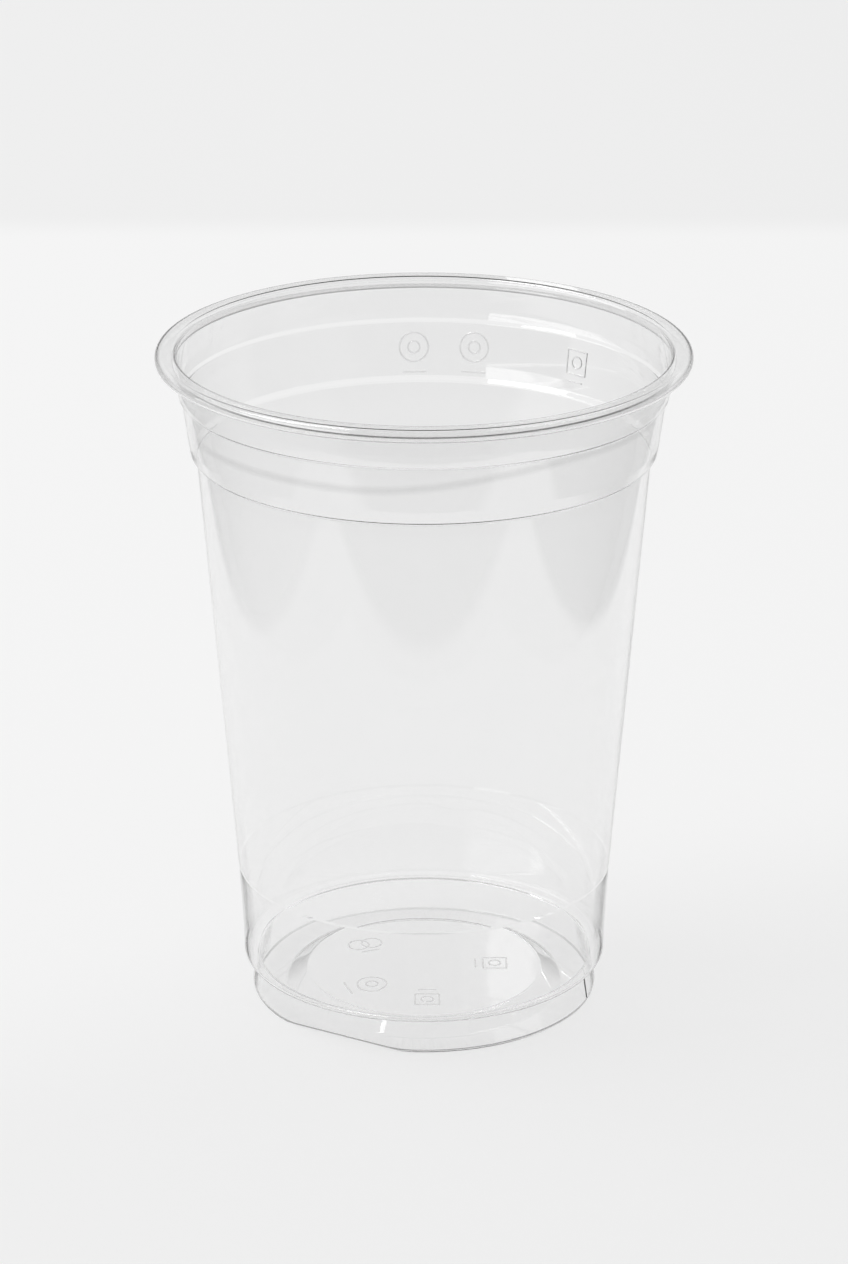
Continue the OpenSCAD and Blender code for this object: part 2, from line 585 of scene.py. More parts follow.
    def inner_side(self) -> list[Corner]:
        """Lists the inside of the section.

        Returns:
            Its corners from the mouth down to the middle of the floor.
        """
        base_r, crease_r = self.base_d / 2 - self.base_t, self.crease_d / 2
        ledge_top, wall = self.ledge_z + self.base_t, self.wall_t
        neck_rise = self.rise(self.neck_ledge_in, self.neck_ledge_h)
        band_rise = self.rise(self.shoulder_in, self.shoulder_h)
        neck_r, band_r, band_top_r = self.neck_r - wall, self.band_r - wall, self.band_top_r - wall
        shoulder_top = self.band_z - self.shoulder_h + band_rise
        neck_ledge_top = self.neck_z - self.neck_ledge_h + neck_rise
        return [
            Corner(self.mouth_r, self.height - self.rim_h, self.lip_bend),
            Corner(neck_r + self.neck_lip_in, self.neck_z + self.neck_lip_h, self.lip_bend),
            Corner(neck_r, self.neck_z + neck_rise, self.ledge_lip),
            Corner(band_top_r, neck_ledge_top, self.ledge_lip + wall),
            Corner(self.band_lip_r - wall, self.band_lip_z, self.lip_bend),
            Corner(band_r, self.band_z + band_rise, self.ledge_lip),
            Corner(band_r - self.shoulder_in, shoulder_top, self.ledge_lip + wall),
            Corner(crease_r - wall, self.crease_z, self.edge_bend * 2),
            Corner(base_r, self.bend_z, self.base_bend),
            Corner(base_r, ledge_top, self.ledge_bend - self.base_t),
            Corner(self.foot_at(ledge_top) - self.base_t, ledge_top, self.ledge_lip_bend),
            Corner(self.foot_at(self.floor_t) - self.base_t, self.floor_t,
                   self.foot_bend - self.floor_t),
            Corner(self.stand_d / 2, self.floor_t, self.disc_bend),
            Corner(self.disc_d / 2, self.disc_rise + self.floor_t, self.disc_bend + self.floor_t),
            Corner(0.0, self.disc_rise + self.floor_t),
        ]

    def section(self) -> list[Corner]:
        """The whole section, from the axis underneath round to the axis inside."""
        return self.outer_side() + self.curl() + self.inner_side()


# the shell


@dataclass
class CupShell:
    """The cup's one sheet, turned about its axis and then given its flat and notch.

    Attributes:
        sizes: The cup's sizes.
        steps: Faces round the axis.
        arc_angle: Largest angle of one face of a round, in degrees.
        side_share: Largest share of a side that the rounds at its ends take up.
        least_reach: Length below which a round is too small to make, in millimetres.
        foot_cuts: Heights at which the foot wall is cut, so that the flat can lean.
        notch_cuts: Places of the cuts beside the notch, in widths of the notch.
        flat_softness: How softly the flat's ends run into the round wall, in millimetres.
        flat_facing: Least share by which a place faces the flat for it to be moved.
        flat_margin: Distance before the flat at which the soft run starts.
        floor_give: Width of the floor's rim that follows the flat, in millimetres.
        notch_reach: Half the width of the strip that is cut for the notch.
        notch_share: Half the width that the notch is pushed in over, in its own widths.
        wall_share: Share of the ledge's height below which a face is on the foot wall.
        skin: Depth below the wall's outside that still counts as outside.
        large_faces: How much more large faces count in the normals, where 50 is as much.
    """

    sizes: CupSizes
    steps: int = 288
    arc_angle: float = 11.0
    side_share: float = 0.96
    least_reach: float = 0.004
    foot_cuts: tuple[float, ...] = (1.6, 2.5, 3.4, 4.3, 5.1, 5.8, 6.2)
    notch_cuts: tuple[float, ...] = (-0.5, -0.16, 0.0, 0.16, 0.5)
    flat_softness: float = 0.45
    flat_facing: float = 0.7
    flat_margin: float = 1.0
    floor_give: float = 4.4
    notch_reach: float = 2.4
    notch_share: float = 0.2
    wall_share: float = 0.999
    skin: float = 0.02
    large_faces: int = 90

    def turn_at(self, corners: list[Corner], i: int) -> float:
        """Measures how much the section turns at a corner.

        Args:
            corners: The section's corners.
            i: Which of them.

        Returns:
            The angle in radians, and 0 at the two ends.
        """
        if i <= 0 or i >= len(corners) - 1:
            return 0.0
        one = corners[i].point() - corners[i - 1].point()
        two = corners[i + 1].point() - corners[i].point()
        return one.angle(two)

    def reach(self, corners: list[Corner], i: int) -> float:
        """Length that the round of corner i would take up on each side."""
        return corners[i].bend * math.tan(self.turn_at(corners, i) / 2)

    def fitted_reach(self, corners: list[Corner], i: int) -> float:
        """The reach of corner i, shortened where two rounds would meet on a side.

        Args:
            corners: The section's corners.
            i: Which of them.

        Returns:
            The reach in millimetres.
        """
        share = 1.0
        for j in (i - 1, i):
            wanted = self.reach(corners, j) + self.reach(corners, j + 1)
            side = (corners[j + 1].point() - corners[j].point()).length
            if wanted > self.side_share * side:
                share = min(share, self.side_share * side / wanted)
        return self.reach(corners, i) * share

    def turn_section(self, bm: BMesh, corners: list[Corner]) -> None:
        """Spins the section once round the axis.

        Args:
            bm: The mesh to fill.
            corners: The section's corners.
        """
        verts = [bm.verts.new((c.radius * MM, 0.0, c.height * MM)) for c in corners]
        edges = [bm.edges.new(pair) for pair in zip(verts, verts[1:])]
        bmesh.ops.spin(bm, geom=verts + edges, cent=(0, 0, 0), axis=(0, 0, 1), dvec=(0, 0, 0),
                       angle=FULL_TURN, steps=self.steps, use_merge=True,
                       use_normal_flip=False, use_duplicate=False)
        bmesh.ops.remove_doubles(bm, verts=bm.verts, dist=SAME_PLACE)
        bmesh.ops.recalc_face_normals(bm, faces=bm.faces)

    def ring(self, bm: BMesh, corner: Corner) -> list[bmesh.types.BMEdge]:
        """Finds the edges that run round the axis through a corner.

        Args:
            bm: The turned mesh.
            corner: The corner.

        Returns:
            The edges.
        """
        def on(vert: bmesh.types.BMVert) -> bool:
            """True for a vertex on that corner's circle."""
            return (abs(vert.co.z - corner.height * MM) < SAME_PLACE
                    and abs(vert.co.xy.length - corner.radius * MM) < SAME_PLACE)

        marked = {v for v in bm.verts if on(v)}
        return [e for e in bm.edges if e.verts[0] in marked and e.verts[1] in marked]

    def round_corners(self, bm: BMesh, corners: list[Corner]) -> None:
        """Bevels each ring of the turned section to its own radius.

        Args:
            bm: The turned mesh.
            corners: The section's corners.
        """
        for i, corner in enumerate(corners):
            reach = self.fitted_reach(corners, i) if 0 < i < len(corners) - 1 else 0.0
            if reach < self.least_reach:
                continue
            turn = math.degrees(self.turn_at(corners, i))
            segments = max(2, math.ceil(turn / self.arc_angle))
            bmesh.ops.bevel(bm, geom=self.ring(bm, corner), offset=reach * MM,
                            offset_type="OFFSET", segments=segments, profile=ROUND_PROFILE,
                            affect="EDGES", material=-1)

    def cut_foot(self, bm: BMesh) -> None:
        """Cuts the foot at a few heights, and beside the notch, so that it can be shaped.

        Args:
            bm: The rounded mesh.
        """
        s = self.sizes
        for height in self.foot_cuts:
            bmesh.ops.bisect_plane(bm, geom=bm.verts[:] + bm.edges[:] + bm.faces[:],
                                   plane_co=(0, 0, height * MM), plane_no=(0, 0, 1))
        for aside in self.notch_cuts:
            faces = [f for f in bm.faces if self.beside_notch(f.calc_center_median())]
            edges = list(dict.fromkeys(e for f in faces for e in f.edges))
            verts = list(dict.fromkeys(v for f in faces for v in f.verts))
            out = self.direction(s.notch_azimuth)
            across = Vector((-out.y, out.x, 0.0))
            bmesh.ops.bisect_plane(bm, geom=verts + edges + faces,
                                   plane_co=across * (aside * s.notch_w * MM), plane_no=across)

    def beside_notch(self, place: Vector) -> bool:
        """Tells the outer foot wall close to the notch.

        Args:
            place: A point in metres.

        Returns:
            True for a point on it.
        """
        s = self.sizes
        out = self.direction(s.notch_azimuth)
        along = place.dot(out)
        aside = abs(place.x * -out.y + place.y * out.x)
        return (place.z < s.ledge_z * MM * self.wall_share and aside < self.notch_reach * MM
                and along > (s.foot_at(place.z / MM) - s.base_t / 2) * MM)

    @staticmethod
    def direction(azimuth: float) -> Vector:
        """The level direction of an azimuth, from the front towards the right."""
        a = math.radians(azimuth)
        return Vector((math.sin(a), -math.cos(a), 0.0))

    def flat_shift(self, place: Vector) -> float:
        """How far the flat pushes the wall in at a place.

        Args:
            place: A point of the foot, in metres.

        Returns:
            The shift towards the axis in millimetres.
        """
        s = self.sizes
        height = place.z / MM
        level = Vector((place.x, place.y, 0.0)).normalized()
        facing = level.dot(self.direction(s.flat_azimuth))
        if facing < self.flat_facing or height > s.ledge_z + s.base_t:
            return 0.0
        wall = s.foot_at(height)
        plane = (s.flat_top_r - (s.flat_top_z - height) * s.flat_slope) / facing
        over = wall - plane
        if over <= -self.flat_margin:
            return 0.0
        return (over + math.hypot(over, self.flat_softness)) / 2

    def shape_foot(self, bm: BMesh) -> None:
        """Moves the foot's vertices in to the flat, and the notch's into the wall.

        Args:
            bm: The mesh with its cuts.
        """
        s = self.sizes
        out = self.direction(s.notch_azimuth)
        for vert in bm.verts:
            height, radius = vert.co.z / MM, vert.co.xy.length / MM
            edge = s.foot_at(height) - s.foot_bend
            if height > s.ledge_z + s.base_t or radius < edge - self.floor_give:
                continue
            give = min(1.0, (radius - edge + self.floor_give) / self.floor_give)
            shift = self.flat_shift(vert.co) * give
            if height > s.ledge_z - s.flat_gap:
                fade = (s.ledge_z + s.base_t - height) / (s.flat_gap + s.base_t)
                shift *= max(0.0, min(1.0, fade))
            if shift > 0.0:
                vert.co.xy *= (radius - shift) / radius
            aside = abs(vert.co.x * -out.y + vert.co.y * out.x) / MM
            upright = s.foot_bend < height < s.ledge_z - s.notch_w
            on_wall = upright and radius > s.foot_at(height) - self.skin
            if aside < s.notch_w * self.notch_share and on_wall and vert.co.dot(out) > 0:
                vert.co.xy *= (radius - s.notch_in) / radius

    def make(self) -> bpy.types.Object:
        """Builds the shell.

        Returns:
            The cup as one object at the origin.
        """
        corners = self.sizes.section()
        bm = bmesh.new()
        self.turn_section(bm, corners)
        self.round_corners(bm, corners)
        self.cut_foot(bm)
        self.shape_foot(bm)
        for face in bm.faces:
            face.smooth = True
        piece = mesh_object("cup_shell", bm)
        even = piece.modifiers.new("even_normals", "WEIGHTED_NORMAL")
        even.mode = "FACE_AREA"
        even.weight = self.large_faces
        even.keep_sharp = False
        return piece


# moulded marks


class Face(Enum):
    """Where a mark lies."""

    BAND = "band"
    FLOOR = "floor"


@dataclass(frozen=True)
class Stroke:
    """One raised stroke of a mark, in millimetres from the mark's middle.

    Attributes:
        across: Its middle, sideways.
        up: Its middle, upwards.
        size: Radius of a ring, or half the length of a bar.
        ring: True for a ring, False for a bar.
        turn: Angle of a bar in degrees.
    """

    across: float
    up: float
    size: float
    ring: bool = True
    turn: float = 0.0


@dataclass(frozen=True)
class Mark:
    """A plain moulded mark, made of rings and bars that mean nothing.

    Attributes:
        face: Where it lies.
        x: On the floor, its place to the right; on the band, along the wall.
        y: On the floor, its place to the back; on the band, its height.
        turn: Angle of the whole mark in degrees.
        strokes: Its strokes.
        depth: Share of the full relief that it stands out by.
    """

    face: Face
    x: float
    y: float
    turn: float
    strokes: tuple[Stroke, ...]
    depth: float = 1.0


RING_AND_ROW = (Stroke(0.0, 0.0, 2.7), Stroke(0.0, 0.0, 1.1),
                Stroke(-1.6, -4.6, 0.6, False), Stroke(0.0, -4.6, 0.6, False),
                Stroke(1.6, -4.6, 0.6, False))
FRAMED_RING = (Stroke(0.0, 0.0, 1.1),
               Stroke(-2.2, 0.0, 2.2, False, 90.0), Stroke(2.2, 0.0, 2.2, False, 90.0),
               Stroke(0.0, -2.2, 2.2, False), Stroke(0.0, 2.2, 2.2, False),
               Stroke(0.0, -3.6, 1.6, False))
TWIN_RINGS = (Stroke(-1.3, 0.0, 1.9), Stroke(1.3, 0.0, 1.9), Stroke(0.0, -3.0, 1.6, False))

MARKS = (
    Mark(Face.BAND, -1.9, 109.7, 0.0, RING_AND_ROW),
    Mark(Face.BAND, 9.5, 109.9, 0.0, RING_AND_ROW),
    Mark(Face.BAND, 31.0, 109.9, 0.0, FRAMED_RING, 0.3),
    Mark(Face.FLOOR, -11.1, 8.1, 20.0, TWIN_RINGS),
    Mark(Face.FLOOR, -9.6, -8.5, -70.0, RING_AND_ROW),
    Mark(Face.FLOOR, 0.6, -14.6, 180.0, FRAMED_RING),
    Mark(Face.FLOOR, 13.2, 0.2, -90.0, FRAMED_RING),
)


# finishes


@dataclass(frozen=True)
class ClearSheet:
    """The finish of clear thermoformed plastic, with some light and shade painted into its colour.

    Tints are shares of the light that one face lets through, and a share of a radius
    is how far in front of the axis a change starts or ends.

    Attributes:
        name: The material's name.
        wall_tint: Tint of the thin drawn wall.
        rim_tint: Tint of the thicker sheet near the rim.
        rim_fade: Height over which the wall's tint turns into the rim's, in millimetres.
        shade_line_tint: Tint of the painted shade on the cut end of the sheet in front and of the
            painted contact shadow along the foot's edge.
        stroke_shade_tint: Painted shade that darkens the strokes of the moulded marks.
        lit_end_tone: Colour of the painted pale face on the cut end of the sheet behind, which
            stands in for the light it catches.
        trim_front: Share of the radius in front of which the cut end has no painted pale face.
        end_start: Share of the radius at which the painted shade on the cut end starts.
        end_full: Share of the radius from which that painted shade is full.
        end_width: Width of the painted dark strip at the cut end, in millimetres.
        end_share: Share of the sheet's thickness above and below the end's middle.
        flat_reach: How far in the painted contact shadow runs at the flat, in millimetres.
        contact_share: Share of the floor's thickness above and below the middle of the painted
            contact shadow.
        back_shadow_share: Strength of the painted contact shadow behind, where 1 is the front's.
        roughness: Roughness of all faces.
        ior: Refractive index.
        lamp_tint: What each face lets through of a lamp's light.
        edge_clear: How much of the base band's thick side lines is seen past.
        edge_colour: Tint of what is seen past them.
        clear_below: Height below which they are fully seen past, in millimetres.
        graze_start: Slant, from 0 to 1, at which the side lines start.
        graze_full: Slant from which they are fully seen past.
        trap_depth: Bounces after which a ray leaves the sheet straight.
        reflected_streak_tint: Tint of the painted dark reflection, a soft streak on the front of
            the lid band.
        reflected_streak_half: Half the streak's height in millimetres.
        reflected_streak_drop: Distance of its low end below the neck, in millimetres.
        reflected_streak_rise: How much higher its right end lies, in millimetres.
        reflected_streak_from: Azimuth at which it starts to rise, in degrees.
        reflected_streak_to: Azimuth at which it ends rising.
        reflected_streak_full: Share of the band's radius from which it is fully seen.
        relief: Height of the moulded marks in metres.
        band_relief: How many times as high they are on the band.
        stroke: Half the width of a mark's stroke in millimetres.
        wave: Height of the sheet's slow unevenness in metres.
        wave_scale: Waves in a metre along each axis.
        wave_detail: How much finer unevenness the waves carry.
    """

    name: str = "clear_sheet"
    wall_tint: float = 0.967
    rim_tint: float = 0.95
    rim_fade: float = 6.0
    shade_line_tint: float = 0.12
    stroke_shade_tint: float = 0.72
    lit_end_tone: float = 0.62
    trim_front: float = 0.4
    end_start: float = 0.2
    end_full: float = 0.75
    end_width: float = 0.9
    end_share: float = 0.6
    flat_reach: float = 3.4
    contact_share: float = 0.45
    back_shadow_share: float = 0.35
    roughness: float = 0.015
    ior: float = 1.57
    lamp_tint: float = 0.98
    edge_clear: float = 0.85
    edge_colour: float = 0.93
    clear_below: float = 22.0
    graze_start: float = 0.70
    graze_full: float = 0.86
    trap_depth: float = 6.5
    reflected_streak_tint: float = 0.83
    reflected_streak_half: float = 1.3
    reflected_streak_drop: float = 4.7
    reflected_streak_rise: float = 3.6
    reflected_streak_from: float = -18.0
    reflected_streak_to: float = 40.0
    reflected_streak_full: float = 0.6
    relief: float = 0.00008
    band_relief: float = 6.0
    stroke: float = 0.2
    wave: float = 0.00002
    wave_scale: tuple[float, float, float] = (55.0, 55.0, 14.0)
    wave_detail: float = 1.5

    @staticmethod
    def stroke_group(ring: bool) -> bpy.types.NodeTree:
        """Makes the node group that draws one stroke.

        Args:
            ring: True for a ring, False for a bar.

        Returns:
            The group, which puts out a height from 0 to 1.
        """
        group = bpy.data.node_groups.new("raised_ring" if ring else "raised_bar", "ShaderNodeTree")
        own = ("Radius", "Half Width") if ring else ("Half Length", "Half Width", "Turn")
        for name in ("Across", "Up", "Middle Across", "Middle Up") + own:
            group.interface.new_socket(name, in_out="INPUT", socket_type="NodeSocketFloat")
        group.interface.new_socket("Height", in_out="OUTPUT", socket_type="NodeSocketFloat")
        sheet = NodeSheet(group)
        given = sheet.add("NodeGroupInput").outputs
        dx = sheet.math("SUBTRACT", given["Across"], given["Middle Across"])
        dy = sheet.math("SUBTRACT", given["Up"], given["Middle Up"])
        if ring:
            far = sheet.length(dx, dy)
            off = sheet.math("ABSOLUTE", sheet.math("SUBTRACT", far, given["Radius"]))
        else:
            cos, sin = sheet.math("COSINE", given["Turn"]), sheet.math("SINE", given["Turn"])
            along = sheet.math("ADD", sheet.times(dx, cos), sheet.times(dy, sin))
            aside = sheet.math("SUBTRACT", sheet.times(dy, cos), sheet.times(dx, sin))
            beyond = sheet.math("SUBTRACT", sheet.math("ABSOLUTE", along), given["Half Length"])
            off = sheet.length(sheet.math("MAXIMUM", 0.0, beyond), aside)
        height = sheet.ramp(sheet.math("DIVIDE", off, given["Half Width"]), 0.0, 1.0, 1.0, 0.0)
        sheet.wire(height, sheet.add("NodeGroupOutput").inputs["Height"])
        return group

    def marks_height(self, sheet: NodeSheet, sizes: CupSizes) -> tuple[Socket, Socket]:
        """Lays all marks over the band's inner face and the floor's upper face.

        Args:
            sheet: The material's nodes.
            sizes: The cup's sizes.

        Returns:
            The height of the marks, from 0 to 1, and 1 where marks may be.
        """
        ring, bar = self.stroke_group(True), self.stroke_group(False)
        x, y, z = (sheet.times(part, 1.0 / MM) for part in sheet.place())
        radius = sheet.length(x, y)
        wall_r = (sizes.band_top_r + sizes.band_lip_r) / 2
        round_wall = sheet.times(sheet.math("ARCTAN2", x, y), wall_r)
        slope = sizes.band_draft / sizes.band_h
        middle = sizes.band_lip_r - sizes.wall_t / 2
        lean = sheet.times(sheet.math("SUBTRACT", z, sizes.band_lip_z), slope)
        inside = sheet.math("LESS_THAN", radius, sheet.math("ADD", middle, lean))
        above = sheet.math("GREATER_THAN", z, sizes.band_z + sizes.wall_t)
        on_band = sheet.times(inside, above)
        low = sheet.math("LESS_THAN", z, sizes.disc_rise + sizes.floor_t * 2)
        upper = sheet.math("GREATER_THAN", z, sizes.disc_rise + sizes.floor_t / 2)
        on_floor = sheet.times(low, upper)
        behind = sheet.math("GREATER_THAN", y, 0.0)
        totals: dict[Face, object] = {Face.BAND: 0.0, Face.FLOOR: 0.0}
        for mark in MARKS:
            across, up = (round_wall, z) if mark.face is Face.BAND else (x, y)
            turn = math.radians(mark.turn)
            drawn: object = 0.0
            for stroke in mark.strokes:
                middle_x = mark.x + stroke.across * math.cos(turn) - stroke.up * math.sin(turn)
                middle_y = mark.y + stroke.across * math.sin(turn) + stroke.up * math.cos(turn)
                node = sheet.add("ShaderNodeGroup", node_tree=ring if stroke.ring else bar)
                values = [across, up, middle_x, middle_y, stroke.size, self.stroke]
                if not stroke.ring:
                    values.append(turn + math.radians(stroke.turn))
                for socket, value in zip(node.inputs, values):
                    sheet.feed(socket, value)
                drawn = sheet.math("MAXIMUM", drawn, node.outputs[0])
            deep = sheet.times(drawn, mark.depth)
            totals[mark.face] = sheet.math("MAXIMUM", totals[mark.face], deep)
        band = sheet.times(totals[Face.BAND], sheet.times(on_band, self.band_relief))
        floor = sheet.times(totals[Face.FLOOR], on_floor)
        zone = sheet.math("MAXIMUM", sheet.times(on_band, behind), on_floor)
        return sheet.math("MAXIMUM", band, floor), zone

    def plastic(self, sheet: NodeSheet, tint: Socket, normal: Socket) -> bpy.types.Node:
        """Adds the plastic's own shader.

        Args:
            sheet: The material's nodes.
            tint: Colour that the sheet lets through.
            normal: The uneven surface.

        Returns:
            The shader.
        """
        node = sheet.add("ShaderNodeBsdfPrincipled", name="clear plastic")
        node.inputs["Roughness"].default_value = self.roughness
        node.inputs["IOR"].default_value = self.ior
        node.inputs["Transmission Weight"].default_value = 1.0
        sheet.wire(tint, node.inputs["Base Color"])
        sheet.wire(normal, node.inputs["Normal"])
        return node

    def tint_and_painted_shade(self, sheet: NodeSheet, sizes: CupSizes) -> Socket:
        """Colour of the plastic, which is darker where the sheet was drawn less, with painted
        shade at its edges and a painted dark reflection on the lid band.

        Args:
            sheet: The material's nodes.
            sizes: The cup's sizes.

        Returns:
            The tint.
        """
        x, y, z = sheet.place()
        far = sheet.length(x, y)
        thick = sheet.ramp(z, (sizes.band_z - self.rim_fade) * MM, sizes.band_z * MM)
        tint = sheet.blend(thick, grey(self.wall_tint), grey(self.rim_tint))
        # painted dark reflection: a soft dark streak across the front of the lid band
        tint = sheet.blend(self.reflected_streak(sheet, sizes, x, y, z), tint, grey(self.reflected_streak_tint))
        # painted shade: a dark strip on the cut end of the curl, in front only
        half = self.end_width / 2
        near_end = sheet.math("COMPARE", far, (sizes.end_r + half) * MM, half * MM)
        low_end = sheet.math("COMPARE", z, sizes.end_z * MM, sizes.rim_t * MM)
        in_front = sheet.ramp(y, -self.end_start * sizes.end_r * MM,
                              -self.end_full * sizes.end_r * MM)
        front_end_shade = sheet.times(near_end, low_end, in_front)
        # painted contact shadow: a dark line along the foot's edge at the table, weaker behind
        contact_r = sizes.foot_r - sizes.foot_bend - self.flat_reach
        out_there = sheet.math("GREATER_THAN", far, contact_r * MM)
        contact_half = sizes.floor_t * self.contact_share
        on_round = sheet.math("COMPARE", z, sizes.floor_t / 2 * MM, contact_half * MM)
        fade = sheet.ramp(y, 0.0, sizes.stand_d / 2 * MM, 1.0, self.back_shadow_share)
        contact_shadow = sheet.times(out_there, on_round, fade)
        # both painted shade lines darken the tint
        edges = sheet.math("MAXIMUM", front_end_shade, contact_shadow)
        return sheet.blend(edges, tint, grey(self.shade_line_tint))

    def reflected_streak(self, sheet: NodeSheet, sizes: CupSizes, x: Socket, y: Socket,
               z: Socket) -> Socket:
        """The painted dark reflection on the front of the lid band, a soft streak which climbs to
        the right.

        Args:
            sheet: The material's nodes.
            sizes: The cup's sizes.
            x: Place to the right.
            y: Place to the back.
            z: Height.

        Returns:
            1 along the middle of the streak and 0 away from it.
        """
        azimuth = sheet.math("ARCTAN2", x, sheet.times(y, -1.0))
        climb = sheet.ramp(azimuth, math.radians(self.reflected_streak_from), math.radians(self.reflected_streak_to),
                           0.0, self.reflected_streak_rise * MM)
        middle = sheet.math("ADD", climb, (sizes.neck_z - self.reflected_streak_drop) * MM)
        off = sheet.math("ABSOLUTE", sheet.math("SUBTRACT", z, middle))
        inside = sheet.ramp(off, 0.0, self.reflected_streak_half * MM, 1.0, 0.0)
        band_r = sizes.band_r * MM
        front = sheet.ramp(y, -self.end_start * band_r, -self.reflected_streak_full * band_r)
        return sheet.times(inside, front)

    def trimmed_end(self, sheet: NodeSheet, sizes: CupSizes) -> Socket:
        """Tells the cut face at the rolled end of the curl, which is painted pale behind as if it
        caught the light.

        Args:
            sheet: The material's nodes.
            sizes: The cup's sizes.

        Returns:
            1 on that face behind, and 0 in front and elsewhere.
        """
        x, y, z = sheet.place()
        at_end = sheet.math("COMPARE", sheet.length(x, y), sizes.end_r * MM, sizes.rim_t / 2 * MM)
        level = sheet.math("COMPARE", z, sizes.end_z * MM, sizes.rim_t * self.end_share * MM)
        behind = sheet.ramp(y, -self.trim_front * sizes.end_r * MM, 0.0)
        return sheet.times(at_end, level, behind)

    @staticmethod
    def bump(sheet: NodeSheet, name: str, height: Socket, distance: float) -> Socket:
        """Adds a Bump node.

        Args:
            sheet: The material's nodes.
            name: A label for people who open the tree.
            height: The height, from 0 to 1.
            distance: What 1 stands for, in metres.

        Returns:
            The uneven surface.
        """
        node = sheet.add("ShaderNodeBump", name=name)
        node.inputs["Strength"].default_value = 1.0
        node.inputs["Distance"].default_value = distance
        sheet.wire(height, node.inputs["Height"])
        return node.outputs["Normal"]

    def drawn_waves(self, sheet: NodeSheet) -> Socket:
        """Lays the slow unevenness of the drawn sheet, long from top to bottom.

        Args:
            sheet: The material's nodes.

        Returns:
            Its height, from 0 to 1.
        """
        stretch = sheet.add("ShaderNodeMapping")
        stretch.inputs["Scale"].default_value = self.wave_scale
        sheet.wire(sheet.add("ShaderNodeTexCoord").outputs["Object"], stretch.inputs["Vector"])
        noise = sheet.add("ShaderNodeTexNoise", name="drawn sheet")
        sheet.wire(stretch.outputs[0], noise.inputs["Vector"])
        noise.inputs["Scale"].default_value = 1.0
        noise.inputs["Detail"].default_value = self.wave_detail
        return noise.outputs[0]

    def material(self, sizes: CupSizes) -> bpy.types.Material:
        """Makes the material.

        Args:
            sizes: The cup's sizes, for the places of the marks.

        Returns:
            The clear plastic.
        """
        mat, sheet = new_material(self.name)
        marks, marked_zone = self.marks_height(sheet, sizes)
        wavy = self.bump(sheet, "sheet unevenness", self.drawn_waves(sheet), self.wave)
        raised = self.bump(sheet, "moulded marks", marks, self.relief)
        tint = self.tint_and_painted_shade(sheet, sizes)
        # painted shade: the strokes of the moulded marks are darkened
        shaded_strokes = sheet.blend(sheet.math("MINIMUM", marks, 1.0), tint, grey(self.stroke_shade_tint))
        plain = self.plastic(sheet, tint, wavy)
        marked = self.plastic(sheet, shaded_strokes, raised)
        plastic = sheet.mix(marked_zone, plain, marked, "marks only where they are")

        height = sheet.place()[2]
        low = sheet.ramp(height, sizes.crease_z * MM, self.clear_below * MM, 0.0, self.edge_clear)
        grazing = sheet.slant(self.graze_start, self.graze_full)
        past = sheet.add("ShaderNodeBsdfTransparent", name="past the thick edge")
        past.inputs["Color"].default_value = grey(self.edge_colour)
        body = sheet.mix(sheet.times(low, grazing), plastic, past)

        # painted light: the cut end behind gets a pale diffuse face
        lit_end_face = sheet.add("ShaderNodeBsdfDiffuse", name="painted pale end")
        lit_end_face.inputs["Color"].default_value = grey(self.lit_end_tone)
        ended = sheet.mix(self.trimmed_end(sheet, sizes), body, lit_end_face)

        path = sheet.add("ShaderNodeLightPath")
        lamp_ray = sheet.math("MAXIMUM", path.outputs["Is Shadow Ray"],
                              path.outputs["Is Diffuse Ray"])
        trapped = sheet.math("GREATER_THAN", path.outputs["Ray Depth"], self.trap_depth)
        straight = sheet.math("MAXIMUM", lamp_ray, trapped)
        through = sheet.add("ShaderNodeBsdfTransparent", name="straight through")
        through.inputs["Color"].default_value = grey(self.lamp_tint)
        sheet.surface(sheet.mix(straight, ended, through))
        return mat


# studio


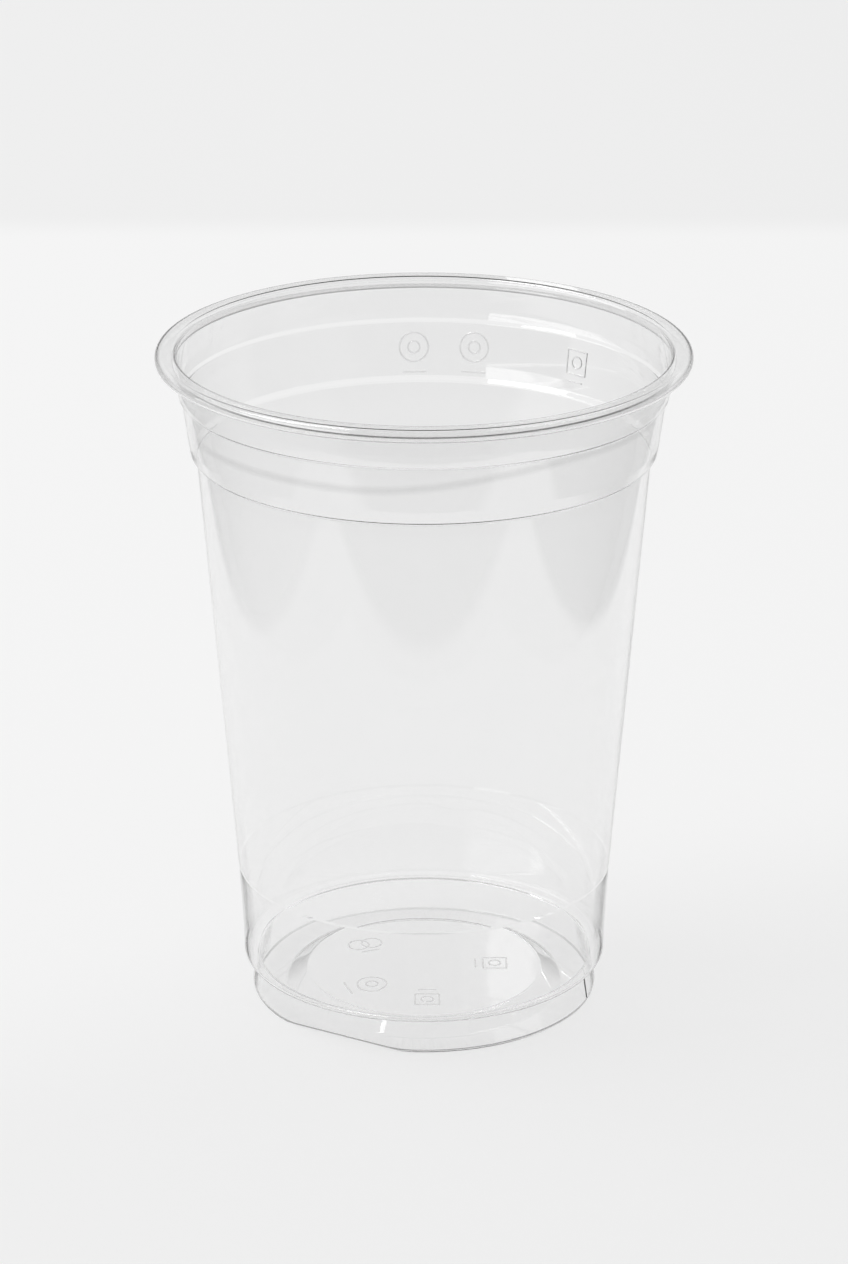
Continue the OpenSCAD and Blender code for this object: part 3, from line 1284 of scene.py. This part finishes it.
@dataclass
class Studio:
    """Floor, backdrop, light and the dark room that only reflections see.

    Tones and brightnesses are linear, where 1 is white, and places are in metres.

    Attributes:
        near_tone: Colour of the floor round the cup.
        front_shade_tone: Colour of the floor towards the camera, darker with painted shade.
        far_tone: Colour of the backdrop.
        lit_across: Share of a place to the right in the line across the two floor tones.
        lit_back: Share of a place to the back in it.
        lit_start: Place on that line at which the floor starts to be lighter.
        lit_full: Place on it from which it has its full tone.
        edge: Distance behind the cup at which the backdrop starts.
        edge_half: Half the width of that change.
        side: Half the width of the bright table in reflections.
        front: Its front edge in reflections.
        table_softness: Half the width of the table's soft edges.
        left_room: Brightness of the room to the left of the table in reflections.
        right_room: Brightness of the room to its right.
        front_room: Brightness just in front of it.
        back_room: Brightness beside its back.
        room: Brightness of the far dark room.
        far_front: Place at which the front room turns into the dark room.
        far_blend: Half the width of that change.
        sheen_room: Brightness of the painted sheen that mirrored rays see on the floor at a low
            angle.
        sheen_end: Distance at which that sheen ends.
        sheen_blend: Width over which it ends.
        sheen_start: Slant, from 0 to 1, at which it starts.
        sheen_full: Slant from which it is full.
        low_sky: Height of a direction, from 0 to 1, below which reflections see the dark room.
        high_sky: Height of a direction above which they see the bright ceiling.
        bright_sky: Brightness of that ceiling.
        sky: Brightness of the light from all round.
        reach: Half the width of the floor.
    """

    near_tone: float = 0.913
    front_shade_tone: float = 0.872
    far_tone: float = 0.863
    lit_across: float = -0.467
    lit_back: float = 0.884
    lit_start: float = -0.03
    lit_full: float = 0.05
    edge: float = 0.512
    edge_half: float = 0.014
    side: float = 0.185
    front: float = -0.176
    table_softness: float = 0.007
    left_room: float = 0.60
    right_room: float = 0.26
    front_room: float = 0.42
    back_room: float = 0.52
    room: float = 0.12
    far_front: float = -0.36
    far_blend: float = 0.06
    sheen_room: float = 0.75
    sheen_end: float = 0.52
    sheen_blend: float = 0.10
    sheen_start: float = 0.60
    sheen_full: float = 0.76
    low_sky: float = 0.05
    high_sky: float = 0.40
    bright_sky: float = 0.95
    sky: float = 0.60
    reach: float = 6.0

    def paper_tone(self, sheet: NodeSheet, x: Socket, y: Socket) -> Socket:
        """Colour of the floor, with painted shade towards the camera, and further back of the
        backdrop.

        Args:
            sheet: The material's nodes.
            x: Place to the right.
            y: Place to the back.

        Returns:
            The colour.
        """
        # painted shade: the floor darkens along a slanting line towards the camera
        line = sheet.math("ADD", sheet.times(x, self.lit_across), sheet.times(y, self.lit_back))
        lit = sheet.ramp(line, self.lit_start, self.lit_full)
        tone = sheet.blend(lit, grey(self.front_shade_tone), grey(self.near_tone))
        behind = sheet.ramp(y, self.edge - self.edge_half, self.edge + self.edge_half)
        return sheet.blend(behind, tone, grey(self.far_tone))

    def room_tone(self, sheet: NodeSheet, x: Socket, y: Socket, wide: Socket) -> Socket:
        """Brightness of the painted room round the table, which the floor glows with for mirrored
        rays.

        Args:
            sheet: The material's nodes.
            x: Place to the right.
            y: Place to the back.
            wide: 1 to the sides of the table.

        Returns:
            The brightness.
        """
        grazing = sheet.slant(self.sheen_start, self.sheen_full)
        near = sheet.ramp(sheet.length(x, y), self.sheen_end - self.sheen_blend, self.sheen_end,
                          1.0, 0.0)
        painted_sheen = sheet.times(grazing, near)
        half = self.side / 2
        beside = sheet.ramp(x, half, -half, self.right_room, self.left_room)
        near_tone = sheet.blend(wide, grey(self.front_room), beside)
        far_ahead = sheet.ramp(y, self.far_front + self.far_blend, self.far_front - self.far_blend)
        ahead_tone = sheet.blend(far_ahead, near_tone, grey(self.room))
        behind_cup = sheet.ramp(y, 0.0, self.side)
        side_tone = sheet.blend(behind_cup, ahead_tone, grey(self.back_room))
        return sheet.blend(painted_sheen, side_tone, grey(self.sheen_room))

    def floor_material(self) -> bpy.types.Material:
        """Makes the pale floor, which reflections see only as a table of limited size, with a
        painted room glowing beyond it.

        Returns:
            The material.
        """
        mat, sheet = new_material("pale_floor")
        x, y, _ = sheet.place()
        paper = sheet.add("ShaderNodeBsdfDiffuse")
        sheet.wire(self.paper_tone(sheet, x, y), paper.inputs["Color"])
        soft = self.table_softness
        wide = sheet.ramp(sheet.math("ABSOLUTE", x), self.side - soft, self.side + soft)
        ahead = sheet.ramp(y, self.front + soft, self.front - soft)
        outside = sheet.times(sheet.math("MAXIMUM", wide, ahead), sheet.mirrored())
        # painted reflection: beyond the table the floor glows for mirrored rays with a room and a
        # sheen
        painted_room_glow = sheet.add("ShaderNodeEmission", name="room in reflections")
        sheet.wire(self.room_tone(sheet, x, y, wide), painted_room_glow.inputs["Color"])
        sheet.surface(sheet.mix(outside, paper, painted_room_glow))
        mat.cycles.emission_sampling = "NONE"
        return mat

    def make_floor(self) -> bpy.types.Object:
        """Lays the floor under the cup.

        Returns:
            The floor.
        """
        bm = bmesh.new()
        bmesh.ops.create_grid(bm, x_segments=1, y_segments=1, size=self.reach)
        floor = mesh_object("floor", bm)
        floor.data.materials.append(self.floor_material())
        return floor

    def make_world(self) -> None:
        """Soft light from all round, a pale backdrop to look at and a dark room in reflections."""
        world = bpy.data.worlds.new("studio")
        world.use_nodes = True
        bpy.context.scene.world = world
        sheet = NodeSheet(world.node_tree)
        path = sheet.add("ShaderNodeLightPath")
        seen = sheet.math("MAXIMUM", path.outputs["Is Camera Ray"],
                          path.outputs["Is Transmission Ray"])
        plain = sheet.blend(seen, grey(self.sky), grey(self.far_tone))
        direction = sheet.add("ShaderNodeSeparateXYZ")
        sheet.wire(sheet.add("ShaderNodeTexCoord").outputs["Generated"], direction.inputs[0])
        overhead = sheet.ramp(direction.outputs[2], self.low_sky, self.high_sky,
                              self.room, self.bright_sky)
        light = sheet.add("ShaderNodeBackground")
        sheet.wire(sheet.blend(sheet.mirrored(), plain, overhead), light.inputs["Color"])
        sheet.surface(light, "ShaderNodeOutputWorld")


@dataclass(frozen=True)
class Softbox:
    """A lamp with a wide square face.

    Attributes:
        name: Its name.
        place: Where it hangs, in metres.
        aim: What it points at.
        size: Side of its face in metres.
        power: In watts.
    """

    name: str
    place: tuple[float, float, float]
    aim: tuple[float, float, float]
    size: float
    power: float

    def make(self) -> bpy.types.Object:
        """Hangs the lamp, which shows in reflections but not through the plastic.

        Returns:
            The lamp.
        """
        data = bpy.data.lights.new(self.name, "AREA")
        data.shape = "SQUARE"
        data.size = self.size
        data.energy = self.power
        lamp = put_in_scene(self.name, data)
        stand(lamp, self.place, self.aim, "-Z")
        lamp.visible_transmission = False
        return lamp


@dataclass(frozen=True)
class Card:
    """A bright panel that only reflections see.

    Attributes:
        name: Its name.
        middle: Its middle, in metres.
        aim: What it faces.
        width: Level width in metres.
        height: Height in metres.
        strength: Brightness, where 1 is white.
    """

    name: str
    middle: tuple[float, float, float]
    aim: tuple[float, float, float]
    width: float
    height: float
    strength: float

    def material(self) -> bpy.types.Material:
        """Makes a light that only mirrored rays see.

        Returns:
            The material.
        """
        mat, sheet = new_material(self.name)
        glow = sheet.add("ShaderNodeEmission")
        glow.inputs["Strength"].default_value = self.strength
        clear = sheet.add("ShaderNodeBsdfTransparent")
        sheet.surface(sheet.mix(sheet.mirrored(), clear, glow))
        mat.cycles.emission_sampling = "NONE"
        return mat

    def make(self) -> bpy.types.Object:
        """Stands the panel up.

        Returns:
            The panel.
        """
        bm = bmesh.new()
        bmesh.ops.create_grid(bm, x_segments=1, y_segments=1, size=1.0)
        bmesh.ops.scale(bm, vec=(self.width / 2, self.height / 2, 1.0), verts=bm.verts)
        panel = mesh_object(self.name, bm)
        stand(panel, self.middle, self.aim, "Z")
        panel.visible_camera = False
        panel.visible_diffuse = False
        panel.visible_shadow = False
        panel.data.materials.append(self.material())
        return panel


KEY_LAMP = Softbox("key", place=(-4.4, 0.6, 7.8), aim=(0.0, 0.0, 0.0), size=4.6, power=388.0)
CARDS = (
    Card("left_card", middle=(-1.16, -0.42, 0.545), aim=(0.0, 0.0, 0.545),
         width=2.0, height=0.92, strength=2.0),
    Card("back_card", middle=(0.0355, 0.55, 0.262), aim=(0.0355, 0.0, 0.262),
         width=0.021, height=0.062, strength=1.35),
)


@dataclass(frozen=True)
class PictureCamera:
    """The camera of the product picture.

    Attributes:
        focal_px: Focal length in pixels of the picture.
        frame_px: The picture's height in pixels.
        back: Distance in front of the cup's axis, in metres.
        up: Height above the table, in metres.
        pitch: How far it looks down, in degrees.
        film: Height of its film in millimetres.
        nearest: Distance from which it sees things, in metres.
        farthest: Distance up to which it sees them.
    """

    focal_px: float = 4579.0
    frame_px: float = 1264.0
    back: float = 0.7725
    up: float = 0.3631
    pitch: float = 20.846
    film: float = 36.0
    nearest: float = 0.01
    farthest: float = 50.0

    def make(self) -> bpy.types.Object:
        """Sets the camera up and makes it the scene's own.

        Returns:
            The camera.
        """
        data = bpy.data.cameras.new("camera")
        data.sensor_fit = "VERTICAL"
        data.sensor_height = self.film
        data.lens = self.film * self.focal_px / self.frame_px
        data.clip_start = self.nearest
        data.clip_end = self.farthest
        cam = put_in_scene("camera", data)
        cam.location = (0.0, -self.back, self.up)
        cam.rotation_euler = (math.radians(90.0 - self.pitch), 0.0, 0.0)
        bpy.context.scene.camera = cam
        return cam


@dataclass
class Cup:
    """The whole object: one sheet of clear plastic.

    Attributes:
        finish: The plastic's finish.
    """

    finish: ClearSheet = field(default_factory=ClearSheet)

    def make(self) -> bpy.types.Object:
        """Builds the cup in place of the frame's solid.

        Returns:
            The finished piece.
        """
        low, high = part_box(CUP_NODE)
        sizes = CupSizes(height=(high.z - low.z) / MM, rim_d=round((high.x - low.x) / MM, 2))
        piece = CupShell(sizes).make()
        piece.data.materials.append(self.finish.material(sizes))
        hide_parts(CUP_NODE)
        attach(piece, ROOT_BODY)
        return piece


def report(thing: bpy.types.Object) -> None:
    """Logs a finished object, with its faces if it has any."""
    faces = len(thing.data.polygons) if thing.type == "MESH" else 0
    log.info("%s is in place, %d faces", thing.name, faces)


def main() -> None:
    """Builds the camera, the studio and the cup in order, and reports each of them."""
    logging.basicConfig(level=logging.INFO, format="%(name)s: %(message)s")
    bpy.context.scene.view_settings.view_transform = "Standard"
    studio = Studio()
    report(PictureCamera().make())
    studio.make_world()
    report(studio.make_floor())
    report(KEY_LAMP.make())
    for card in CARDS:
        report(card.make())
    report(Cup().make())


if __name__ == "__main__":
    main()
